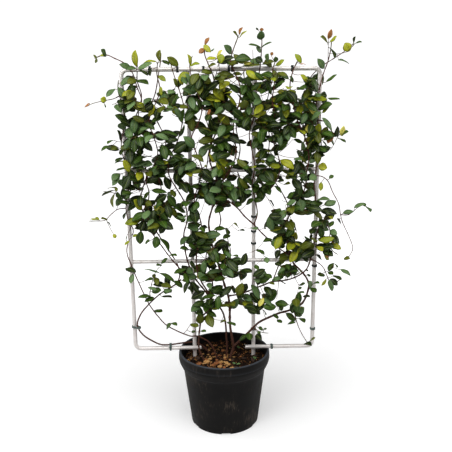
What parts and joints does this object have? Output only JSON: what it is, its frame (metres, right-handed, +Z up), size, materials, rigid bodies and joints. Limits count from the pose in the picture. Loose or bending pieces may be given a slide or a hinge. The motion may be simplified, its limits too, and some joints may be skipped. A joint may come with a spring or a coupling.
{
  "type": "potted star jasmine",
  "caption": "Evergreen climbing plant with woody stems and oval leaves, tied to a tube rack that stands in a black nursery pot.",
  "frame": {"origin": "middle of the pot's underside, on the surface that it stands on", "axes": "+Z up, +X to the right seen from the front, the front faces -Y"},
  "size_m": [0.9257, 0.307, 1.2725],
  "materials": {
    "pot": "black moulded plastic with dusty scuffs",
    "mix": "dark crumbly peat and bark mix",
    "bark": "rough tan bark",
    "rack": "dull grey drawn tube, lightly streaked",
    "tie": "dark green binding tube",
    "stem": "reddish brown bark, green on the young shoots",
    "leaf": "glossy dark green with a paler midrib, yellow green and bronze on new growth"
  },
  "bodies": {
    "root": {"back_centre": "leaf", "back_far_left": "leaf", "back_left": "leaf", "back_far_right": "leaf", "back_right": "leaf", "back_right_outer": "leaf", "bark_chip_1": "bark", "bark_chip_2": "bark", "bark_chip_3": "bark", "bark_chip_4": "bark", "bark_chip_5": "bark", "cross_bar_lower": "rack", "cross_bar_upper": "rack", "frame_hoop": "rack", "pot": "pot", "potting_mix": "mix", "shoot_centre": "leaf", "shoot_centre_right": "leaf", "shoot_left_bunch": "leaf", "shoot_left_drop": "leaf", "shoot_left_inner": "leaf", "shoot_left_side": "leaf", "shoot_left_tip": "leaf", "shoot_low_left": "leaf", "shoot_low_pot": "leaf", "shoot_low_right": "leaf", "shoot_middle": "leaf", "shoot_right": "leaf", "shoot_right_hang": "leaf", "shoot_right_high": "leaf", "shoot_right_low": "leaf", "shoot_right_outer": "leaf", "shoot_right_spray": "leaf", "shoot_sweep": "leaf", "stake_left": "rack", "stake_right": "rack", "stem_centre": "stem", "stem_cross": "stem", "stem_left": "stem", "stem_left_stile": "stem", "stem_low_left": "stem", "stem_main": "stem", "stem_right": "stem", "tie_left_1": "tie", "tie_left_2": "tie", "tie_left_3": "tie", "tie_leg_left": "tie", "tie_leg_right": "tie", "tie_right_1": "tie", "tie_right_2": "tie", "tie_stake_1": "tie", "tie_stake_2": "tie", "tie_stake_3": "tie", "tie_stake_4": "tie", "tie_top_1": "tie", "tie_top_2": "tie", "tie_top_3": "tie", "tie_top_4": "tie", "tie_top_5": "tie", "tie_top_6": "tie"}
  },
  "joints": []
}
